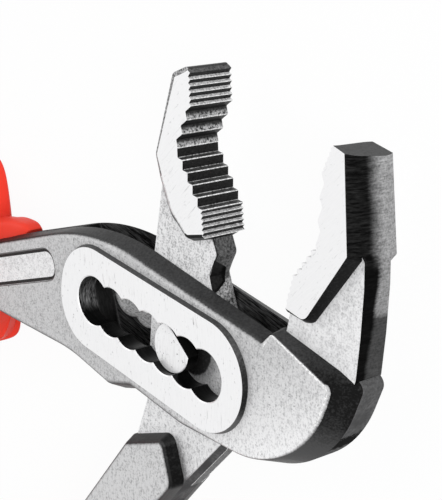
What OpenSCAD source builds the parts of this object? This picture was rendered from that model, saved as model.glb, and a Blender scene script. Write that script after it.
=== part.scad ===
/* [Slot and bolt] */
// Distance between neighbouring lobes of the slot
slot_pitch = 6; // [5.6:0.1:6.6]
// Number of lobes
slot_positions = 7; // [6:1:8]
// Lobe that holds the bolt, counted from the handle
bolt_position = 5; // [4:1:6]
// Radius of one lobe
lobe_r = 5.3; // [4.8:0.05:5.6]
// Radial play of the bolt in a lobe
bolt_clearance = 0.05; // [0.02:0.01:0.1]
// Play of the bolt's flat between two lobes, when it slides
slide_clearance = 0.6; // [0.1:0.05:0.9]
// Angle between the bolt's flat and the slot in the pose shown
bolt_turn = 31; // [20:1:40]
// Depth of the bolt's end below the boss
bolt_recess = 1.7; // [0.5:0.1:2.5]

/* [Box joint] */
// Thickness over both bosses
boss_thick = 14.2; // [13.4:0.1:15.5]
// Height of a boss above its cheek
boss_step = 1.1; // [0.6:0.1:1.6]
// Half the width of a boss
boss_half = 11.8; // [11:0.1:13]
// How far the wall of a boss slopes out
boss_draft = 0.25; // [0.1:0.05:0.6]
// Wall of the boss past the end of the slot
boss_margin = 6; // [5:0.1:8]
// Cheek face above the boss
cheek_top_margin = 2.4; // [1.6:0.1:4]
// Cheek face below the boss
cheek_low_margin = 1.7; // [1.2:0.1:3]
// How far the forged edges stand out towards the middle of the tool
edge_draft = 2.4; // [1:0.1:3.5]
// How far the side of the inner limb stands out below the box
tongue_draft = 2; // [0.5:0.1:2.4]
// Width of the mortise that the inner limb passes through
mortise_w = 5.4; // [4.6:0.1:6.2]
// Side play of the inner limb in the mortise
tongue_clearance = 0.1; // [0.05:0.01:0.25]
// Solid metal between the slot and the far end of the mortise
mortise_reach = 10; // [8:0.5:13]

/* [Jaws] */
// Width of the jaws across the teeth
tooth_w = 10.4; // [9:0.1:11.4]
// Thickness of the outer limb behind its jaw
web_w = 6.6; // [6:0.1:8]
// Depth of the fine teeth
fine_depth = 0.6; // [0.3:0.05:0.9]
// Depth of the coarse teeth
coarse_depth = 1; // [0.5:0.05:1.4]
// Fine teeth at the tip of a jaw
tip_teeth = 6; // [4:1:8]
// Coarse teeth from the fine ones at the tip down into the hollow
fall_teeth = 3; // [2:1:4]
// Coarse teeth from the hollow out to the root
rise_teeth = 5; // [3:1:6]
// Fine teeth at the root of a jaw
root_teeth = 5; // [3:1:6]

/* [Handles] */
// Width of a shank inside its grip, at the head end
shank_w = 14; // [12:0.5:15]
// Width of a shank at its far end
shank_end_w = 10; // [8:0.5:12]
// Thickness of a shank inside its grip
shank_t = 10; // [8:0.5:11]
// Depth of the bare recessed panel in the outer handle
panel_depth = 0.5; // [0.2:0.1:1]
// Direction of the outer handle
outer_angle = 207; // [203:1:211]
// Direction of the inner handle where it leaves the box
inner_angle = 235; // [233:1:240]
// Outward bend of the inner handle
inner_bend = 27; // [22:1:34]
// Gentle inward curve of each grip
grip_curve = 8; // [0:1:14]

/* [Grips] */
// Length of a grip
grip_len = 134; // [120:1:150]
// Length of the collar in front of the guard
collar_len = 14; // [12:0.5:18]
// Length of the guard along the handle
guard_len = 7; // [5:0.5:10]
// Height of the guard on the outer side, from the middle of the handle
guard_rise = 29.5; // [24:0.5:32]
// Height of the lip on the inner side
lip_rise = 18; // [14.5:0.5:19]
// Thickness of a grip behind the guard
grip_t = 18; // [16:0.5:22]
// Width of a grip behind the guard
grip_w = 23; // [20:0.5:26]
// Closed end of the grip past the end of the shank
grip_end_wall = 6; // [3:0.5:10]

/* [Hidden] */

small_arc = 5;
large_arc = 16;
overlap = 1;
trim = 0.4;
cut_size = 4 * grip_len;
steel = "#c4c4c6";
bright_steel = "#e8e8ea";
red_sleeve = "#e8341c";

bolt_r = lobe_r - bolt_clearance;
neck_half = sqrt(lobe_r * lobe_r - slot_pitch * slot_pitch / 4);
bolt_flat = 2 * neck_half - slide_clearance - bolt_r;
bolt_half = boss_thick / 2 - bolt_recess;

mid_z = boss_thick / 2;
cheek_half = boss_thick / 2 - boss_step;
ridge_half = mortise_w / 2;
tongue_half = ridge_half - tongue_clearance;
flash_half = tongue_half / 4;
tooth_half = tooth_w / 2;
web_half = web_w / 2;
shank_half = shank_t / 2;

first_lobe = (1 - bolt_position) * slot_pitch;
last_lobe = (slot_positions - bolt_position) * slot_pitch;
boss_left = first_lobe - lobe_r - boss_margin;
boss_right = last_lobe + lobe_r + boss_margin;
cheek_top = boss_half + cheek_top_margin;
cheek_low = boss_half + cheek_low_margin;
head_x = last_lobe + lobe_r + mortise_reach;
head = [head_x, cheek_top];
nose_r = 1.08 * (cheek_top + cheek_low - 4.5);

// Both handle lines start on the middle of the bare forging, just in front of the grips
outer_start = [boss_left - 14.7, -3.4];
inner_start = [-4.1, -cheek_low - 19.7];
outer_grip_from = 14.5;
inner_grip_from = 30;
forging_in_grip = 7.5;
outer_path = [[40, 0], [grip_len + outer_grip_from - 40, grip_curve]];
inner_path = [[16, 0], [36, inner_bend], [grip_len + inner_grip_from - 52, -grip_curve]];
shank_len = grip_len - grip_end_wall;

function unit(v) = v / norm(v);
function flat(p) = [p.x, p.y];
function heading(angle) = [cos(angle), sin(angle)];

// One rounded corner of an outline, between its neighbours a and b
function corner(a, p, b, r) =
    let (u = unit(a - p), v = unit(b - p))
    let (half = acos(u * v) / 2)
    let (centre = p + unit(u + v) * r / sin(half))
    let (first = p + u * r / tan(half) - centre, last = p + v * r / tan(half) - centre)
    let (from = atan2(first.y, first.x), to = atan2(last.y, last.x))
    let (sweep = (to - from + 540) % 360 - 180, steps = r > 9 ? large_arc : small_arc)
    [for (i = [0:steps]) centre + r * heading(from + sweep * i / steps)];

// An outline of [x, y, radius] corners turned into points; a corner with no radius stays sharp
function rounded(outline) =
    let (n = len(outline))
    [for (i = [0:n - 1])
        each outline[i][2] == undef
            ? [flat(outline[i])]
            : corner(flat(outline[(i + n - 1) % n]), flat(outline[i]), flat(outline[(i + 1) % n]), outline[i][2])];

// Saw teeth from one point to another: crests on the line, valleys cut to its left
function teeth(from, to, count, depth) =
    let (step = (to - from) / count)
    let (left = unit([-step.y, step.x]) * depth)
    [for (i = [0:count - 1]) each [from + step * i, from + step * (i + 0.4) + left]];

// Place and direction after a distance along a chain of [length, turn] arcs
function walk(path, s, place, angle, k = 0) =
    let (run = path[k][0], turn = path[k][1])
    let (part = k == len(path) - 1 ? s : min(s, run))
    let (bend = turn * part / run)
    let (chord = abs(bend) < 0.01 ? part : part * sin(bend / 2) / (bend / 2 * PI / 180))
    let (there = place + chord * heading(angle + bend / 2))
    part == s ? [there, angle + bend] : walk(path, s - part, there, angle + bend, k + 1);

// A point beside a handle line: s along it, n to the side of the outer handle's back
function beside(path, place, angle, s, n) =
    let (at = walk(path, s, place, angle))
    at[0] + n * heading(at[1] - 90);

function beside_outer(s, n) = beside(outer_path, outer_start, outer_angle, s, n);
function beside_inner(s, n) = beside(inner_path, inner_start, inner_angle, s, n);

// A closed skin over rings of points, all of one length
module skin(rings) {
    n = len(rings[0]);
    last = len(rings) - 1;
    sides = [for (k = [0:last - 1]) for (i = [0:n - 1])
        let (a = k * n + i, b = k * n + (i + 1) % n)
        each [[a, a + n, b + n], [a, b + n, b]]];
    caps = [[for (i = [0:n - 1]) i], [for (i = [n - 1:-1:0]) last * n + i]];
    polyhedron([for (ring = rings) each ring], concat(caps, sides));
}

function at_level(outline, z) = [for (p = rounded(outline)) [p.x, p.y, z]];

// The ring that a draft from a ridge to a face reaches a little beyond that face
function past_face(face, face_z, ridge, ridge_z) =
    let (a = at_level(face, face_z), b = at_level(ridge, ridge_z))
    let (share = trim / abs(face_z - ridge_z))
    [for (i = [0:len(a) - 1]) a[i] + (a[i] - b[i]) * share];

// A drafted body whose two end faces are cut flat
module cut_flat(rings, half) {
    intersection() {
        skin(rings);
        translate([-cut_size / 2, -cut_size / 2, -half])
            cube([cut_size, cut_size, 2 * half]);
    }
}

// A forged slab with drafted edges: one outline on both faces, a wider one towards the middle
module forged(face, ridge, face_half, slab_half) {
    cut_flat(
        [
            past_face(face, -face_half, ridge, -slab_half),
            at_level(ridge, -slab_half),
            at_level(ridge, slab_half),
            past_face(face, face_half, ridge, slab_half)
        ],
        face_half
    );
}

module plate(points, half) {
    translate([0, 0, -half])
        linear_extrude(2 * half)
            polygon(points);
}

// Corners of the box, given once for its faces and once, moved out by the draft, for its ridge
function box_outline(out, top_left, low_left, handle_out) = [
    beside_outer(outer_grip_from + forging_in_grip, -low_left),
    [boss_left + 3.3, -cheek_low - 2 - handle_out, 40],
    [first_lobe + 6 + out * 0.3, -cheek_low - 3.3 - handle_out, 2.5],
    [first_lobe + 13.4 + out * 0.2, -cheek_low - out * 0.7, 1.5],
    [6, -cheek_low - 0.6 - out * 0.6, 20],
    [head.x + 14.6, -cheek_low + 3.3 + out * 0.45, nose_r],
    [head.x + 16.9 + out * 1.9, head.y - 1.2 + out * 0.8, 1.8],
    [head.x - 0.2, head.y + 1.9 + out * 0.3, 1.2],
    [head.x - 2.7 + out / 6, head.y - 1.2 + out / 2, 0.8],
    [boss_left + 5.8 + out * 1.6, head.y + 0.1 + out, 58],
    beside_outer(outer_grip_from + forging_in_grip, top_left)
];

// Tooth line of the outer jaw, from its tip down to its root, set from the head
outer_teeth = [
    head + [6.4, 42.2],
    head + [4.6, 35.2],
    head + [6.2, 22.4],
    head + [1.5, 14.2],
    head + [0.8, 7.6]
];

// Tooth line of the inner jaw, from its root up to its tip, set from the top of the cheeks
inner_teeth = [
    [5.2, cheek_top + 11.8],
    [3.6, cheek_top + 17],
    [-5.7, cheek_top + 26.3],
    [-3.3, cheek_top + 35.6],
    [-5.2, cheek_top + 42.8]
];

function tooth_line(line, counts, depths) =
    [for (i = [0:len(line) - 2]) each teeth(line[i], line[i + 1], counts[i], depths[i])];

outer_tooth_points = tooth_line(
    outer_teeth,
    [tip_teeth + 1, fall_teeth, rise_teeth, root_teeth],
    [fine_depth, coarse_depth, coarse_depth, fine_depth]
);
inner_tooth_points = tooth_line(
    inner_teeth,
    [root_teeth, rise_teeth, fall_teeth, tip_teeth],
    [fine_depth, coarse_depth, coarse_depth, fine_depth]
);

function outer_jaw_outline(low, side, rear) = concat(
    [
        head + [1, 7.5 - low],
        concat(head + [6.5 + side / 2, 7.5 - low], 2.5),
        concat(head + [14.3 + side + 0.9 * rear, 23.6 - side / 2 - 1.2 * rear], 1.2),
        head + [8.9 + side * 0.8 + 0.8 * rear, 42.2]
    ],
    outer_tooth_points
);

// The outer jaw: thinner at its teeth than at its back, with a ground tip that leans a little
module outer_jaw() {
    back_to_teeth = 8;
    taper = atan((cheek_half - tooth_half) / back_to_teeth);
    front = outer_jaw_outline(0, 0, 0);
    front_base = outer_jaw_outline(1.2, 1.4, 0);
    rear = outer_jaw_outline(0, 0, 1);
    rear_base = outer_jaw_outline(1.2, 1.4, 0.5);
    difference() {
        cut_flat(
            [
                past_face(rear, -cheek_half, rear_base, -web_half),
                at_level(rear_base, -web_half),
                at_level(front_base, web_half),
                past_face(front, cheek_half, front_base, web_half)
            ],
            cheek_half
        );
        translate([head.x + 6.4, head.y + 40.8, tooth_half])
            rotate([-4.4, 0, -6])
                translate([-cut_size / 2, 0, -cut_size / 2])
                    cube([cut_size, cut_size, cut_size]);
        for (side = [0, 1])
            mirror([0, 0, side])
                translate([head.x + 6, head.y, tooth_half])
                    rotate([0, -taper, 0])
                        translate([-cut_size / 2, 0, 0])
                            cube([cut_size, cut_size, cut_size]);
    }
}

function boss_outline(out) = [
    [boss_left - out, -boss_half + 0.7 - out, 10.5],
    [boss_right + out, -boss_half + 0.5 - out, 11.3],
    [boss_right + out, boss_half + out, 11.3],
    [boss_left - out, boss_half - 0.7 + out, 10.5]
];

// Web behind the outer jaw, down into the box
function web_outline() = [
    [head.x, head.y - 8],
    head + [12, -10],
    head + [18.2, -4],
    head + [19, 1],
    head + [18.4, 9],
    head + [17.2, 18],
    head + [15.6, 22.8],
    head + [12, 27],
    head + [8, 25],
    head + [1, 7.4]
];

// Mortise from top to bottom of the box; its handle end leans with the inner limb
function mortise_outline() = [
    [first_lobe + 7.5, -2 * cheek_low],
    [head.x, -2 * cheek_low],
    [head.x, 2 * cheek_top],
    [first_lobe - 21, 2 * cheek_top]
];

// Bare recessed panel on both sides of the outer handle
function panel_outline() = [
    concat(beside_outer(-11, -3.5), 2.6),
    concat(beside_outer(-11, 3.5), 3.3),
    concat(beside_outer(outer_grip_from + forging_in_grip + overlap, 3.5), 0.4),
    concat(beside_outer(outer_grip_from + forging_in_grip + overlap, -3.5), 0.4)
];

// Shank from inside the thick part of a handle to near the closed end of its grip
function shank_outline(path, place, angle, grip_from) =
    let (steps = 10, from = grip_from + forging_in_grip - 2, to = grip_from + shank_len)
    let (half = function (k) (shank_w + (shank_end_w - shank_w) * k / steps) / 2)
    let (at = function (k) from + (to - from) * k / steps)
    concat(
        [for (k = [0:steps]) beside(path, place, angle, at(k), half(k))],
        [for (k = [steps:-1:0]) beside(path, place, angle, at(k), -half(k))]
    );

module outer_forging() {
    difference() {
        union() {
            forged(
                box_outline(0, 6.6, 6.9, 0),
                box_outline(edge_draft, 7.3, 7.9, 1),
                cheek_half,
                ridge_half
            );
            forged(
                boss_outline(0),
                boss_outline(2 * boss_draft),
                boss_thick / 2,
                cheek_half - boss_step
            );
            plate(web_outline(), web_half);
            outer_jaw();
            plate(
                shank_outline(outer_path, outer_start, outer_angle, outer_grip_from),
                shank_half
            );
        }
        plate(mortise_outline(), ridge_half);
        for (k = [0:slot_positions - 1])
            translate([first_lobe + k * slot_pitch, 0, -boss_thick])
                cylinder(r = lobe_r, h = 2 * boss_thick, $fn = 72);
        for (side = [0, 1])
            mirror([0, 0, side])
                translate([0, 0, cheek_half - panel_depth])
                    linear_extrude(boss_thick)
                        polygon(rounded(panel_outline()));
    }
}

function inner_jaw_outline(low, side) = concat(
    [
        [-low / 2, cheek_top + 9.8 - low, 1.5],
        [4.5 + low / 6, cheek_top + 11.7 - low / 2]
    ],
    inner_tooth_points,
    [
        concat(inner_teeth[len(inner_teeth) - 1] + [-1, -0.3], 0.5),
        [-10, cheek_top + 40, 1.2],
        [-12.1 - side / 10, cheek_top + 22.8, 2],
        [-9.7 - side, cheek_top + 19 - side * 0.9, 1.5],
        [-5.5 - side, cheek_top + 13.2 - side, 5]
    ]
);

// Tongue and neck of the inner limb, thin enough for the mortise; its side stands out below the box
function tongue_outline(out) = [
    [-10.4, -cheek_low - 14.5],
    [6.2 + out * 0.8, -cheek_low - 15.3 - out * 0.55],
    [14.3 + out * 0.8, -cheek_low - 2.7 - out * 0.55, 1],
    [13.4, -1, 6],
    [9.5, cheek_top - 3.2, 5],
    [5.3, cheek_top + 4.2, 1.2],
    [6.7, cheek_top + 9.4, 1.5],
    [4.6, cheek_top + 11.4],
    [-1, cheek_top + 17.8],
    [-12, cheek_top + 18.8],
    [-11.8, cheek_top + 1.8, 8],
    [-8.3, -cheek_low - 3, 8]
];

// Thick part of the inner handle, with the step at its upper end
function inner_handle_outline(out) = [
    [-9.8 - out * 0.5, -cheek_low - 14 + out * 0.4, 1.5],
    beside_inner(inner_grip_from + forging_in_grip, 6.7 + out / 3),
    beside_inner(inner_grip_from + forging_in_grip, -6.7 - out / 3),
    [5.8 + out * 0.35, -cheek_low - 15.9 + out * 0.15, 3],
    [1.3, -cheek_low - 7.7 + out * 0.65, 1.2 + out * 0.5]
];

module inner_forging() {
    difference() {
        union() {
            forged(tongue_outline(0), tongue_outline(tongue_draft), tongue_half, flash_half);
            forged(inner_jaw_outline(0, 0), inner_jaw_outline(1.4, 2.4), tooth_half, tongue_half);
            forged(inner_handle_outline(0), inner_handle_outline(edge_draft), cheek_half, tongue_half);
            plate(
                shank_outline(inner_path, inner_start, inner_angle, inner_grip_from),
                shank_half
            );
        }
        translate([0, 0, -boss_thick])
            cylinder(r = bolt_r, h = 2 * boss_thick, $fn = 72);
    }
}

// Stations along a grip: distance, height on the guard side and on the other side, half thickness, slant
function grip_stations() =
    let (guard = collar_len + guard_len, half_w = grip_w / 2, half_t = grip_t / 2)
    [
        [0, 10, 14.6, half_t - 1.8, 0.58],
        [0.8, 10.8, 15.4, half_t - 1.1, 0.56],
        [collar_len / 2, 11.2, 16, half_t - 0.7, 0.36],
        [collar_len - 2, 12, 16.6, half_t - 0.2, 0.2],
        [collar_len - 0.4, 14, 17, half_t + 0.1, 0.16],
        [collar_len + 0.2, guard_rise - 1.8, lip_rise - 0.6, half_t + 0.7, 0.15],
        [collar_len + 1.4, guard_rise, lip_rise, half_t + 1.3, 0.14],
        [guard - 1.6, guard_rise, lip_rise, half_t + 1.5, 0.1],
        [guard + 0.4, guard_rise - 2, lip_rise - 1, half_t + 1.2, 0.1],
        [guard + 3, half_w + 4, half_w + 3, half_t + 0.5, 0.06],
        [guard + 10, half_w, half_w, half_t, 0],
        [grip_len * 0.42, half_w - 0.5, half_w - 0.5, half_t, 0],
        [grip_len * 0.68, half_w + 0.5, half_w + 0.5, half_t + 0.2, 0],
        [grip_len - 12, half_w - 1.2, half_w - 1.2, half_t - 0.6, 0],
        [grip_len - 4, half_w - 2.6, half_w - 2.6, half_t - 1.4, 0],
        [grip_len - 1, half_w - 5, half_w - 5, half_t - 3, 0],
        [grip_len, half_w - 7.5, half_w - 7.5, half_t - 5, 0]
    ];

// A rounded-box section round the handle line, slanted by so much per unit of height
function grip_ring(path, place, angle, s, up, down, half, slant) =
    let (sides = 32, squareness = 0.52)
    [for (i = [0:sides - 1])
        let (turn = 360 * i / sides)
        let (n = sign(cos(turn)) * pow(abs(cos(turn)), squareness) * (cos(turn) > 0 ? up : down))
        let (z = sign(sin(turn)) * pow(abs(sin(turn)), squareness) * half)
        let (p = beside(path, place, angle, s - slant * n, n))
        [p.x, p.y, z]];

module sleeve(path, place, angle, from, guard_side) {
    rings = [for (g = grip_stations())
        let (up = guard_side > 0 ? g[1] : g[2], down = guard_side > 0 ? g[2] : g[1])
        grip_ring(path, place, angle, from + g[0], up, down, g[3], g[4] * guard_side)];
    skin([for (k = [len(rings) - 1:-1:0]) rings[k]]);
}

module outer_limb() {
    color(steel)
        translate([0, 0, mid_z])
            outer_forging();
}

module inner_limb() {
    color(steel)
        translate([0, 0, mid_z])
            inner_forging();
}

// Bolt: round where the inner limb holds it, with a flat on each end
module pivot_bolt() {
    color(bright_steel)
        translate([0, 0, mid_z])
            difference() {
                translate([0, 0, -bolt_half])
                    cylinder(r = bolt_r, h = 2 * bolt_half, $fn = 72);
                for (side = [0, 1])
                    mirror([0, 0, side])
                        rotate([0, 0, -bolt_turn])
                            translate([-bolt_r - overlap, bolt_flat, tongue_half])
                                cube([2 * (bolt_r + overlap), bolt_r, bolt_half]);
            }
}

module outer_grip() {
    color(red_sleeve)
        translate([0, 0, mid_z])
            difference() {
                sleeve(outer_path, outer_start, outer_angle, outer_grip_from, 1);
                outer_forging();
            }
}

module inner_grip() {
    color(red_sleeve)
        translate([0, 0, mid_z])
            difference() {
                sleeve(inner_path, inner_start, inner_angle, inner_grip_from, -1);
                inner_forging();
            }
}

outer_limb();
inner_limb();
pivot_bolt();
outer_grip();
inner_grip();
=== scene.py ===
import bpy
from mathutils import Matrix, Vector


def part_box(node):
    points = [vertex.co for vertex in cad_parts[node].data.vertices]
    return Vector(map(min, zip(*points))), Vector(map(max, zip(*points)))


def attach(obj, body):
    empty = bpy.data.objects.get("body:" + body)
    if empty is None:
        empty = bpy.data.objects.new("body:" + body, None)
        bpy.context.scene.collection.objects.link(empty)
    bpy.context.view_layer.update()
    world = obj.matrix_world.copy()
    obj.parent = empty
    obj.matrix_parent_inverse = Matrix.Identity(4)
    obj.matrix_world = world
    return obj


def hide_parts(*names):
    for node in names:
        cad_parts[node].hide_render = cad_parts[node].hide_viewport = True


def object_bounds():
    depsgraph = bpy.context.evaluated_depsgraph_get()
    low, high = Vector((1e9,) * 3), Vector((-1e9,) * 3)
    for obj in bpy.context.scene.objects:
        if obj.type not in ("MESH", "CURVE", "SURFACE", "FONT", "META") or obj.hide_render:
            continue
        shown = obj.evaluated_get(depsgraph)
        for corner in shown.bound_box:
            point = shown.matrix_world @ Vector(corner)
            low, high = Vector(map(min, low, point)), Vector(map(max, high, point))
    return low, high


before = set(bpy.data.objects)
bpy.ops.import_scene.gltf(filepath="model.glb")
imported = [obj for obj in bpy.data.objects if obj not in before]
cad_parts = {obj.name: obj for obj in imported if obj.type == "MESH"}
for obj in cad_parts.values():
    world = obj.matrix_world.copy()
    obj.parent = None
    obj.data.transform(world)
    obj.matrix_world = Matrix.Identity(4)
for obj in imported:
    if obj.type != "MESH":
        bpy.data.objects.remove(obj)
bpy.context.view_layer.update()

import math

import bmesh
import bpy
import numpy as np
from mathutils import Matrix, Vector

# Outer limb: one drop forging of chrome vanadium steel, with the box, one jaw and the upper handle. The
# bosses and the flanks of the jaw are ground bright, the flat faces are blasted, and the drafted walls keep
# the dark skin of the heat treatment. The slot is broached through both cheeks, the mortise is milled.
MM = 0.001
# Sizes are in millimetres: places from the axis of the bolt, levels from the middle of the thickness
limb_low, limb_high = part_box("outer_limb")
MID_Z = (limb_low.z + limb_high.z) / 2 / MM
BOSS_LEVEL = (limb_high.z - limb_low.z) / 2 / MM
CHEEK_LEVEL, PANEL_LEVEL, WEB_LEVEL, MORTISE_LEVEL, JAW_LEVEL = 6.0, 5.5, 3.3, 2.7, 5.2
SLOT_PITCH, LOBE_R = 6.0, 5.3
LOBES = [(k - 4) * SLOT_PITCH for k in range(7)]
HEAD_X, HEAD_Y, CHEEK_LOW = 27.3, 14.2, 13.5
BOSS_LEFT, BOSS_RIGHT, BOSS_HALF, BOSS_DRAFT, BOSS_FOOT = -35.3, 23.3, 11.8, 0.7, 4.9
EDGE_DRAFT, NOSE_R, FORGED_EDGE = 2.4, 25.0, 1.1
# Each handle line is a chain of (length, turn) arcs, the place where it starts and its first direction
OUTER_LINE = ([(40.0, 0.0), (108.5, 8.0)], (-50.0, -3.4), 207.0)
OUTER_FROM, IN_GRIP, SHANK_END = 14.5, 7.5, 14.0
PANEL_FROM, PANEL_HALF, TIP_TURN, TIP_LEAN = -11, 3.5, -6, -4.4
OUTER_TEETH = [(33.7, 56.4), (31.9, 49.4), (33.5, 36.6), (28.8, 28.4), (28.1, 21.8)]
OUTER_COUNTS, TOOTH_DEPTHS, TOOTH_EDGE = (7, 3, 5, 5), (0.35, 0.9, 0.9, 0.4), 0.03
# Each tooth as (share of the pitch, share of the depth): the worn crest, then the blunt valley
SAW = ((-0.04, 0.03), (0.05, 0.05), (0.38, 0.96), (0.44, 0.97))

STEEL = (0.992, 0.992, 1.0)
SCALE_SKIN = (0.005, 0.005, 0.005)
# The lightest skin: rubbed at random, and painted light on walls by the way they face
WORN_AND_LIT_SKIN = (0.062, 0.062, 0.063)


class Wire:
    """A shader value. Arithmetic on it adds Math nodes; node() adds any other node."""

    def __init__(self, tree, socket=None):
        self.tree, self.socket = tree, socket

    def node(self, kind, settings=None, inputs=None, out=0):
        made = self.tree.nodes.new("ShaderNode" + kind)
        for name, value in (settings or {}).items():
            setattr(made, name, value)
        for name, value in (inputs or {}).items():
            if isinstance(value, Wire):
                self.tree.links.new(value.socket, made.inputs[name])
            else:
                made.inputs[name].default_value = value
        return Wire(self.tree, made.outputs[out])

    def maths(self, operation, *values, clamp=False):
        return self.node("Math", {"operation": operation, "use_clamp": clamp}, dict(enumerate(values)))

    def __add__(self, other):
        return self.maths("ADD", self, other)

    def __radd__(self, other):
        return self.maths("ADD", other, self)

    def __sub__(self, other):
        return self.maths("SUBTRACT", self, other)

    def __rsub__(self, other):
        return self.maths("SUBTRACT", other, self)

    def __mul__(self, other):
        return self.maths("MULTIPLY", self, other)

    def __rmul__(self, other):
        return self.maths("MULTIPLY", other, self)

    def __abs__(self):
        return self.maths("ABSOLUTE", self)

    def between(self, low, high):
        """0 below low, 1 above high, smooth in between."""
        return self.node(
            "MapRange",
            {"interpolation_type": "SMOOTHSTEP"},
            {"Value": self, "From Min": low, "From Max": high},
        )

    def place(self, stretch=(1, 1, 1), turn=0.0):
        """Millimetres along axes turned about Z, each multiplied by its stretch."""
        return self.node(
            "Mapping",
            {"vector_type": "TEXTURE"},
            {
                "Vector": self.node("TexCoord", out="Object"),
                "Rotation": (0, 0, math.radians(turn)),
                "Scale": tuple(MM / s for s in stretch),
            },
        )

    def axis(self, vector, name):
        return self.node("SeparateXYZ", inputs={"Vector": vector}, out=name)

    def noise(self, spot, size, detail=2.0, rough=0.5):
        """Noise whose lumps are about that many millimetres across."""
        return self.node(
            "TexNoise",
            inputs={"Vector": spot, "Scale": 1 / size, "Detail": detail, "Roughness": rough},
        )

    def blend(self, share, first, second):
        """A colour between two colours."""
        inputs = {0: share, 6: rgba(first), 7: rgba(second)}
        return self.node("Mix", {"data_type": "RGBA"}, inputs, out=2)

    def bump(self, height, strength, depth):
        inputs = {"Height": height, "Strength": strength, "Distance": depth * MM}
        return self.node("Bump", inputs=inputs)


def rgba(colour):
    return colour if isinstance(colour, Wire) else (*colour, 1)


def toned(colour, factor):
    """The colour made darker by a factor."""
    return [c * factor for c in colour]


def output(tree):
    """The socket that a material's shader goes to."""
    return tree.nodes.new("ShaderNodeOutputMaterial").inputs["Surface"]


def finish(name, paint):
    """A material whose surface is set by paint(wire), which returns the shader's sockets."""
    material = bpy.data.materials.new(name)
    material.use_nodes = True
    tree = material.node_tree
    tree.nodes.clear()
    wire = Wire(tree)
    shader = wire.node("BsdfPrincipled", inputs=paint(wire))
    tree.links.new(shader.socket, output(tree))
    return material


def ground_paint(turn, marks, line_depth):
    """Ground steel: fine lines along one direction, a few deeper scratches and dark specks."""

    def paint(w):
        lines = w.noise(w.place((5, 0.3, 0.3), turn), 1, 2, 0.7)
        scratches = w.noise(w.place((2.6, 0.22, 0.22), turn + 4), 1, 3, 0.7).between(0.58, 0.74)
        specks = w.noise(w.place((1.6, 0.8, 1), turn), 0.9, 2, 0.6).between(0.64, 0.76)
        cloud = w.noise(w.place(), 9, 2).between(0.35, 0.7)
        shade = (scratches * cloud + specks * 0.6) * marks + (lines - 0.5) * line_depth
        shade = w.maths("ADD", shade, 0.02, clamp=True)
        return {
            "Base Color": w.blend(shade, toned(STEEL, 0.9), toned(STEEL, 0.3)),
            "Metallic": 0.5,
            "Roughness": 0.36 + (lines - 0.5) * 0.2,
            "Normal": w.bump(lines, 0.12, 0.05),
        }

    return paint


def skin(w, low, high):
    """Colour of the dark skin of the heat treatment, with painted light: walls that face up, towards the
    jaws, are painted lighter, less so along the handle and in the corner below the web, and the box's walls
    that face down are painted lighter as well."""
    spot = w.place()
    rise = w.axis(w.node("TexCoord", out="Normal"), "Y")
    along, height = w.axis(spot, "X"), w.axis(spot, "Y")
    below_jaw = 1 - height.between(12, 18)
    top = (along.between(-58, -34) * 0.55 + 0.15) * (1 - along.between(32, 42) * below_jaw)
    # Painted light: lighter where a wall faces up, and below the jaw also where it faces down
    worn = rise.between(0.42, 0.74) * top + (0 - rise).between(0.05, 0.6) * below_jaw * 1.6
    rubbed = (w.noise(spot, 3.2, 4, 0.7) - 0.5) * 0.6 + (w.noise(spot, 0.45, 2, 0.6) - 0.5) * 1.3
    return w.blend(w.maths("ADD", worn, rubbed, clamp=True), low, high)


def skin_paint(low, high):
    """A wall that keeps its dark skin, a little rough from the die, with the painted light from skin()."""

    def paint(w):
        grain = w.noise(w.place(), 0.5, 3, 0.65)
        return {
            "Base Color": skin(w, low, high),
            "Metallic": 0.7,
            "Specular IOR Level": 0.2,
            "Roughness": 0.4 + grain * 0.15,
            "Normal": w.bump(grain, 0.3, 0.07),
        }

    return paint


def blasted_paint(tone, nose_tone, grit, patch=None):
    """Blasted forging: light grey and grainy on the flat, with a speckled edge towards the dark skin. It is
    brighter towards the nose, and darker on its soft edges that face down, which is painted shade; patch(w)
    gives the share of the flat painted with the dark skin's colour as a cast shadow."""

    def paint(w):
        spot = w.place()
        grain = w.noise(spot, 0.42, 2, 0.6)
        streak = w.noise(w.place((2.2, 0.6, 1), 12), 1, 2, 0.6)
        pits = w.noise(spot, 0.9, 2, 0.6).between(0.66, 0.74)
        cloud = w.noise(spot, 11, 3, 0.6)
        facing = w.node("TexCoord", out="Normal")
        flat = (abs(w.axis(facing, "Z")) + (grain - 0.5) * 0.3).between(0.72, 0.99)
        # Painted cast shadow: patch(w) turns that share of the flat to the dark skin's colour
        if patch:
            flat = flat * (1 - patch(w))
        nose = w.axis(w.place(turn=-53), "X").between(2, 34)
        grey = w.blend(nose, toned(STEEL, tone), toned(STEEL, nose_tone))
        # Painted shade: soft edges that face down are made darker
        under = (0 - w.axis(facing, "Y")).between(0.04, 0.5)
        lumps = w.noise(spot, 1.1, 3, 0.7)
        rough = (grain - 0.5) * 2.0 + (lumps - 0.5) * 1.3 + (cloud - 0.5) * 0.4 + pits * 0.8
        rough = rough + (streak - 0.5) * (nose * 1.2 + 0.8)
        level = under * 0.7 + 0.2 - nose * 0.12
        shade = w.maths("ADD", level, rough * (1 - nose * 0.3) * grit, clamp=True)
        bright = w.node(
            "Mix",
            {"data_type": "RGBA", "blend_type": "MULTIPLY"},
            {0: shade, 6: grey, 7: (0.45, 0.45, 0.455, 1)},
            out=2,
        )
        return {
            "Base Color": w.blend(flat, skin(w, SCALE_SKIN, WORN_AND_LIT_SKIN), bright),
            "Metallic": 0.45,
            "Specular IOR Level": 0.2,
            "Roughness": 0.42 + grain * 0.2,
            "Normal": w.bump(grain, 0.4, 0.09),
        }

    return paint


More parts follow.
